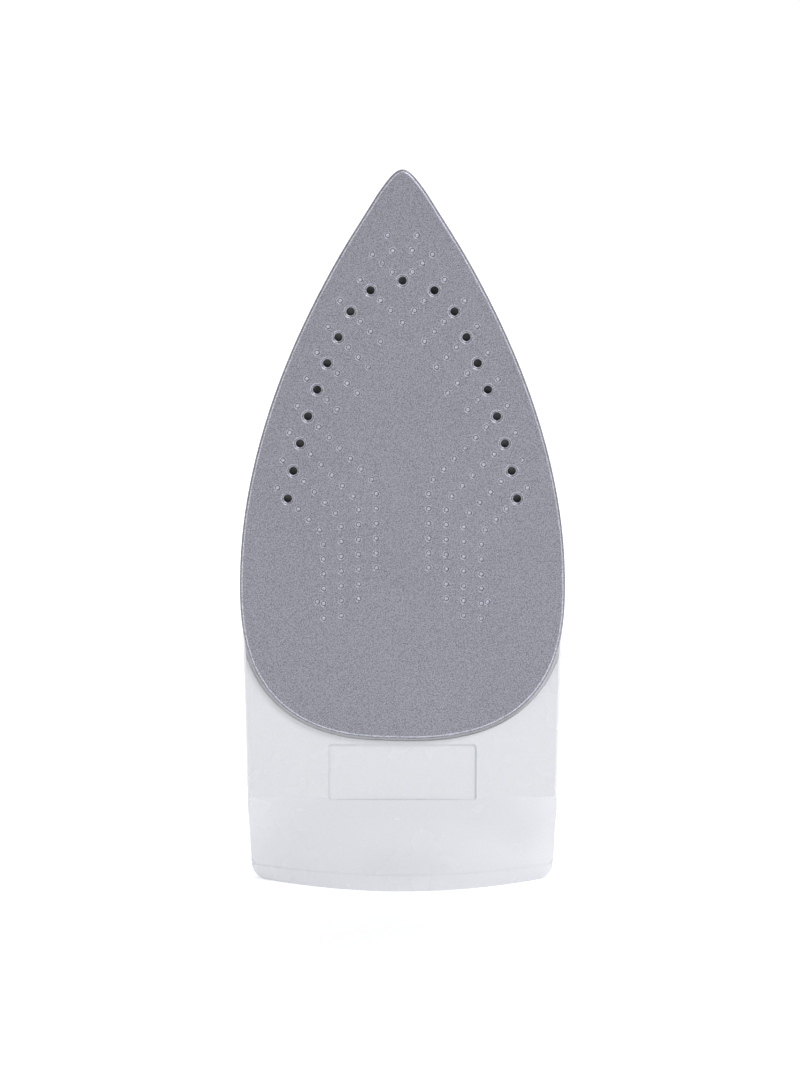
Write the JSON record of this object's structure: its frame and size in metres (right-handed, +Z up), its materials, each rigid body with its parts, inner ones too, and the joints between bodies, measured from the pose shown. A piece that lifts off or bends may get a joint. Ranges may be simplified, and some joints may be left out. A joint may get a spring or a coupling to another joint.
{
  "type": "steam iron",
  "caption": "Household steam iron standing on its heel: pointed grey soleplate with steam holes and dimples, pale housings, loop handle, dial, buttons, filler door and cord gland.",
  "frame": {"origin": "on the heel plane that the iron stands on, below the middle of its bounding box", "axes": "+Z up from the heel to the tip, -Y out of the soleplate's working face, +Y to the back of the handle, +X across the iron to the right as the soleplate is faced"},
  "size_m": [0.118, 0.1339, 0.2645],
  "materials": {
    "sole_coating": "satin ceramic coating",
    "white_shell": "gloss",
    "tank_tint": "gloss, translucent",
    "grip": "fine matt texture",
    "control_grey": "satin",
    "lens": "clear tinted",
    "lamp_glass": "clear",
    "cast_alloy": "as cast",
    "element_steel": "drawn",
    "plated_steel": "zinc plated",
    "sheet_aluminium": "rolled",
    "ceramic": "unglazed",
    "silicone": "matt",
    "contact_brass": "polished",
    "nylon": "moulded",
    "lead_brown": "extruded",
    "lead_blue": "extruded",
    "lead_green": "extruded"
  },
  "bodies": {
    "iron": {"chamber_cover": "plated_steel", "chamber_gasket": "silicone", "clamp_screws": "plated_steel", "cord_clamp": "nylon", "deck_plate": "control_grey", "door_pin": "plated_steel", "earth_lead": "lead_green", "element_pins": "plated_steel", "fuse_clip": "sheet_aluminium", "handle_lower": "grip", "handle_upper": "white_shell", "heat_shield": "sheet_aluminium", "heater_casting": "cast_alloy", "heating_element": "element_steel", "heel_cover": "white_shell", "heel_screws": "plated_steel", "live_lead": "lead_brown", "neutral_lead": "lead_blue", "pilot_lamp": "lamp_glass", "pilot_lens": "lens", "pin_insulators": "ceramic", "rear_housing": "white_shell", "skirt": "white_shell", "sole_screws": "plated_steel", "soleplate": "sole_coating", "spray_delivery_tube": "silicone", "spray_nozzle": "control_grey", "spray_pump": "nylon", "spray_spring": "plated_steel", "steam_delivery_tube": "silicone", "steam_pump": "nylon", "steam_spring": "plated_steel", "suction_tubes": "silicone", "tank_floor": "tank_tint", "tank_shell": "tank_tint", "terminal_block": "nylon", "terminal_screws": "contact_brass", "thermal_fuse": "plated_steel", "thermostat_bimetal": "plated_steel", "thermostat_bracket": "plated_steel", "thermostat_ceramics": "ceramic", "thermostat_leaves": "contact_brass", "thermostat_rivet": "contact_brass", "valve_seat": "silicone", "valve_spring": "plated_steel"},
    "temperature_dial": {"temperature_dial": "control_grey", "dial_shaft": "nylon", "thermostat_stud": "plated_steel"},
    "spray_button": {"spray_button": "control_grey", "spray_piston": "nylon"},
    "steam_button": {"steam_button": "control_grey", "steam_piston": "nylon"},
    "steam_lever": {"steam_lever": "control_grey"},
    "steam_valve": {"valve_rod": "plated_steel"},
    "fill_door": {"fill_door": "tank_tint"},
    "cord_gland": {"cord_gland": "grip"}
  },
  "joints": [
    {"name": "temperature_dial_turn", "type": "hinge", "parent": "iron", "child": "temperature_dial", "pos_m": [0, 0.0031, 0.1], "axis": [0, 1, 0], "range_deg": [0, 270]},
    {"name": "spray_button_press", "type": "slide", "parent": "iron", "child": "spray_button", "axis": [0, -1, 0], "range_m": [0, 0.004], "stiffness_N_per_m": 800, "deforming": ["spray_spring"]},
    {"name": "steam_button_press", "type": "slide", "parent": "iron", "child": "steam_button", "axis": [0, -1, 0], "range_m": [0, 0.004], "stiffness_N_per_m": 800, "deforming": ["steam_spring"]},
    {"name": "steam_lever_turn", "type": "hinge", "parent": "iron", "child": "steam_lever", "pos_m": [0, 0.0291, 0.198], "axis": [0, 1, 0], "range_deg": [-20, 20]},
    {"name": "steam_valve_lift", "type": "slide", "parent": "iron", "child": "steam_valve", "axis": [0, 1, 0], "range_m": [-0.0011, 0.0011], "deforming": ["valve_spring"]},
    {"name": "fill_door_hinge", "type": "hinge", "parent": "iron", "child": "fill_door", "pos_m": [0, -0.00956, 0.22453], "axis": [-1, 0, 0], "range_deg": [0, 80]},
    {"name": "cord_gland_swivel", "type": "hinge", "parent": "iron", "child": "cord_gland", "pos_m": [0, 0.0306, 0.018], "axis": [1, 0, 0], "range_deg": [-22, 22]}
  ],
  "couplings": [
    {"joint": "steam_valve_lift", "follows": "steam_lever_turn", "m_per_rad": 0.002865}
  ]
}
